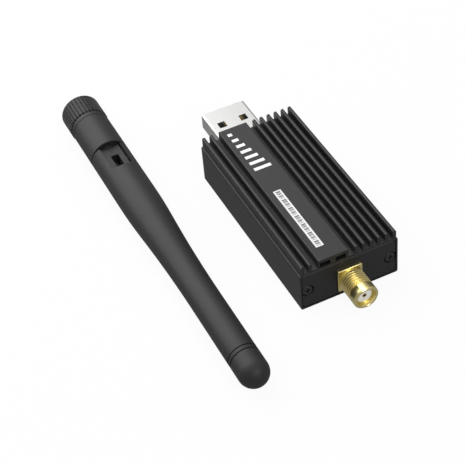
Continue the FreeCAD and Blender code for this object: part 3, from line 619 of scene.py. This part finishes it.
def sticker_bar_shells(sizes):
    """Fine bars across the sticker, whose widths repeat in a short cycle."""
    low_y = LABEL_LOW.y + sizes.sticker_margin
    span = LABEL_HIGH.y - sizes.sticker_margin - low_y
    cycle = (1, 2, 1, 3, 1, 1, 2)
    widths = np.array([cycle[i % len(cycle)] for i in range(sizes.sticker_bars)], float)
    gaps = np.array([cycle[(3 * i + 1) % len(cycle)] for i in range(sizes.sticker_bars)], float)
    unit = span / (widths.sum() + gaps[:-1].sum())
    starts = low_y + unit * np.concatenate([[0], np.cumsum(widths[:-1] + gaps[:-1])])
    top = LABEL_HIGH.z
    shells = []
    for start, width in zip(starts, widths):
        low = (LABEL_LOW.x + sizes.sticker_margin, start, top - PRINT_THICKNESS)
        high = (LABEL_HIGH.x - sizes.sticker_margin, start + unit * width, top + PRINT_THICKNESS)
        shells.append((box_points(low, high), box_faces(0)))
    return shells


def nut_thread_points(nut):
    """A ring whose inner wall carries a helical ridge and whose outer wall is plain.

    About the antenna's axis the inner radius is r = R - (R - r0) * tooth(t), with t the turn
    count depth / pitch - angle / turn and tooth a triangle wave whose tops and roots are cut flat.
    """
    pitch = bpy.context.scene.radio_jack.thread_pitch
    columns = 96
    angle = np.arange(columns) * TURN / columns
    depth = np.linspace(nut.start, nut.end, 130)
    turns = depth[:, None] / pitch - angle[None, :] / TURN
    tooth = np.clip(1.5 * np.abs(2 * (turns % 1.0) - 1.0) - 0.25, 0, 1)
    rise = np.minimum(depth - nut.start, nut.end - depth)
    fade = np.clip(rise / (0.3 * pitch), 0, 1)[:, None]
    height = nut.outer_radius - nut.inner_radius
    inner = nut.outer_radius - NUT_WALL - height * tooth * fade
    outer = np.full((2, columns), nut.outer_radius)
    radius = np.concatenate([inner, outer])
    station = np.concatenate([depth, [nut.end, nut.start]])[:, None] + 0 * angle[None, :]
    axis = joint_axis("nut_spin")
    across = np.cross(axis, (0.0, 0.0, 1.0))
    across /= np.linalg.norm(across)
    upward = np.cross(axis, across)
    points = (joint_place("nut_spin") + station[..., None] * axis
              + (radius * np.cos(angle))[..., None] * across
              + (radius * np.sin(angle))[..., None] * upward)
    return points.reshape(-1, 3), ring_faces(len(radius), columns)


# Operators


class RADIO_OT_finishes(bpy.types.Operator):
    """Make every finish and give it to the solids that keep their shape"""

    bl_idname = "radio.finishes"
    bl_label = "Finishes"

    def execute(self, context):
        FINISHES.update(make_finishes(context.scene.radio_finish))
        for row in frame["record"]["subparts"]:
            node = frame["nodes"][row["node"]]
            node.data.materials.clear()
            node.data.materials.append(FINISHES[row["material_slot"]])
        return {"FINISHED"}


class RADIO_OT_jack(bpy.types.Operator):
    """Make the gold jack with its flange, thread and open mouth"""

    bl_idname = "radio.jack"
    bl_label = "Antenna jack"

    def execute(self, context):
        sizes = context.scene.radio_jack
        points, faces = join_shells([jack_points(sizes)] + jack_legs(sizes))
        piece = build_piece("jack_threaded", points, faces, "stick",
                            FINISHES["jack_gold"], JACK_SHARP_DEGREES)
        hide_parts("jack_body")
        return {"FINISHED"}


class RADIO_OT_prints(bpy.types.Operator):
    """Print the rising bars on the strip and the fine bars on the sticker"""

    bl_idname = "radio.prints"
    bl_label = "Printed marks"

    def execute(self, context):
        sizes = context.scene.radio_print
        points, faces = join_shells(mark_shells(sizes))
        build_piece("strip_mark", points, faces, "stick", FINISHES["print_white"])
        points, faces = join_shells(sticker_bar_shells(sizes))
        build_piece("sticker_bars", points, faces, "stick",
                    FINISHES["print_grey"])
        return {"FINISHED"}


class RADIO_OT_nut_thread(bpy.types.Operator):
    """Cut the thread inside the antenna's brass nut"""

    bl_idname = "radio.nut_thread"
    bl_label = "Nut thread"

    def execute(self, context):
        points, faces = nut_thread_points(context.scene.radio_nut)
        build_piece("nut_thread", points, faces, "antenna_nut",
                    FINISHES["nut_brass"], THREAD_SHARP_DEGREES)
        return {"FINISHED"}


def seen_mask(tree, weight):
    """1 for camera rays and weight for mirror and glass rays, from Light Path."""
    path = tree.nodes.new("ShaderNodeLightPath")
    bounced = math_node(tree, "MAXIMUM", path.outputs["Is Glossy Ray"],
                        path.outputs["Is Transmission Ray"])
    softer = math_node(tree, "MULTIPLY", bounced, weight)
    return math_node(tree, "MAXIMUM", path.outputs["Is Camera Ray"], softer)


def floor_material(stage):
    """Pale floor that the camera and reflections see as white, with the object's shadow."""
    material = bpy.data.materials.new("pale floor")
    material.use_nodes = True
    tree = material.node_tree
    shader = tree.nodes["Principled BSDF"]
    shader.inputs["Base Color"].default_value = (*FLOOR_GREY, 1)
    shader.inputs["Roughness"].default_value = 0.9
    shader.inputs["Specular IOR Level"].default_value = 0.1
    glow = tree.nodes.new("ShaderNodeEmission")
    glow.inputs["Color"].default_value = WHITE
    tree.links.new(seen_mask(tree, stage.mirrored_floor), glow.inputs["Strength"])
    share = math_node(tree, "MULTIPLY", seen_mask(tree, 1.0), stage.floor_glow)
    mix = tree.nodes.new("ShaderNodeMixShader")
    tree.links.new(share, mix.inputs["Fac"])
    tree.links.new(shader.outputs[0], mix.inputs[1])
    tree.links.new(glow.outputs[0], mix.inputs[2])
    tree.links.new(mix.outputs[0], tree.nodes["Material Output"].inputs["Surface"])
    return material


def studio_world(stage):
    """Room light that grows from the horizon to the zenith; the camera sees plain white.

    The light's strength is horizon + (zenith - horizon) * z for a direction of height z.
    """
    world = bpy.data.worlds.new("soft studio")
    world.use_nodes = True
    tree = world.node_tree
    light = tree.nodes["Background"]
    light.inputs["Color"].default_value = WHITE
    parts = tree.nodes.new("ShaderNodeSeparateXYZ")
    tree.links.new(tree.nodes.new("ShaderNodeTexCoord").outputs["Generated"], parts.inputs[0])
    height = math_node(tree, "MAXIMUM", parts.outputs["Z"], 0.0)
    growth = math_node(tree, "MULTIPLY", height, stage.zenith - stage.horizon)
    tree.links.new(math_node(tree, "ADD", growth, stage.horizon), light.inputs["Strength"])
    white = tree.nodes.new("ShaderNodeBackground")
    white.inputs["Color"].default_value = WHITE
    mix = tree.nodes.new("ShaderNodeMixShader")
    tree.links.new(seen_mask(tree, stage.mirrored_world), mix.inputs["Fac"])
    tree.links.new(light.outputs[0], mix.inputs[1])
    tree.links.new(white.outputs[0], mix.inputs[2])
    tree.links.new(mix.outputs[0], tree.nodes["World Output"].inputs["Surface"])
    return world


def soft_lamp(name, place, side, power):
    """A square soft lamp of the given side that points at the middle of the stage."""
    data = bpy.data.lights.new(name, "AREA")
    data.shape = "SQUARE"
    data.size = side
    data.energy = power
    lamp = bpy.data.objects.new(name, data)
    lamp.location = place
    aim = Vector(STAGE_MIDDLE) - Vector(place)
    lamp.rotation_mode = "QUATERNION"
    lamp.rotation_quaternion = aim.to_track_quat("-Z", "Y")
    bpy.context.scene.collection.objects.link(lamp)
    return lamp


class RADIO_OT_stage(bpy.types.Operator):
    """Set the floor, the world, the lamps and the camera"""

    bl_idname = "radio.stage"
    bl_label = "Stage"

    def execute(self, context):
        stage = context.scene.radio_stage
        mesh = bpy.data.meshes.new("floor")
        reach = FLOOR_REACH
        corners = [(-reach, -reach, 0), (reach, -reach, 0), (reach, reach, 0), (-reach, reach, 0)]
        mesh.from_pydata(corners, [], [(0, 1, 2, 3)])
        floor = bpy.data.objects.new("floor", mesh)
        floor.data.materials.append(floor_material(stage))
        context.scene.collection.objects.link(floor)

        context.scene.world = studio_world(stage)
        soft_lamp("key_lamp", (-0.15, 0.41, 0.44), 0.68, stage.key_power)
        soft_lamp("side_lamp", (-0.42, 0.41, 0.17), 0.15, stage.side_power)
        soft_lamp("fill_lamp", (0.06, -0.52, 0.4), 0.2, stage.fill_power)

        data = bpy.data.cameras.new("camera")
        data.sensor_width = 36.0
        data.lens = stage.lens
        data.clip_start = 0.01
        data.clip_end = 20.0
        camera = bpy.data.objects.new("camera", data)
        turn = Matrix((CAMERA_RIGHT, CAMERA_UP, CAMERA_BACK)).transposed().to_4x4()
        camera.matrix_world = Matrix.Translation(Vector(stage.camera_place)) @ turn
        context.scene.collection.objects.link(camera)
        context.scene.camera = camera
        context.scene.view_settings.view_transform = "Standard"
        return {"FINISHED"}


STEPS = ("finishes", "jack", "prints", "nut_thread", "stage")


class RADIO_PT_steps(bpy.types.Panel):
    """Lists the steps that dress the radio stick"""

    bl_idname = "RADIO_PT_steps"
    bl_label = "Radio Stick"
    bl_space_type = "VIEW_3D"
    bl_region_type = "UI"
    bl_category = "Radio Stick"

    def draw(self, context):
        for step in STEPS:
            self.layout.operator("radio." + step)


CLASSES = (JackSizes, PrintSizes, NutSizes, FinishValues, StageValues, RADIO_OT_finishes,
           RADIO_OT_jack, RADIO_OT_prints, RADIO_OT_nut_thread, RADIO_OT_stage, RADIO_PT_steps)
SETTINGS = {"radio_jack": JackSizes, "radio_print": PrintSizes, "radio_nut": NutSizes,
            "radio_finish": FinishValues, "radio_stage": StageValues}


def register():
    """Register the classes and hang their values on the scene."""
    for entry in CLASSES:
        bpy.utils.register_class(entry)
    for name, group in SETTINGS.items():
        setattr(bpy.types.Scene, name, PointerProperty(type=group))


def unregister():
    """Take the values and the classes away again."""
    for name in SETTINGS:
        delattr(bpy.types.Scene, name)
    for entry in reversed(CLASSES):
        bpy.utils.unregister_class(entry)


def main():
    """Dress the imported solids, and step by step."""
    register()
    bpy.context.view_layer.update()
    for step in STEPS:
        getattr(bpy.ops.radio, step)()
    bpy.context.view_layer.update()


if __name__ == "__main__":
    main()
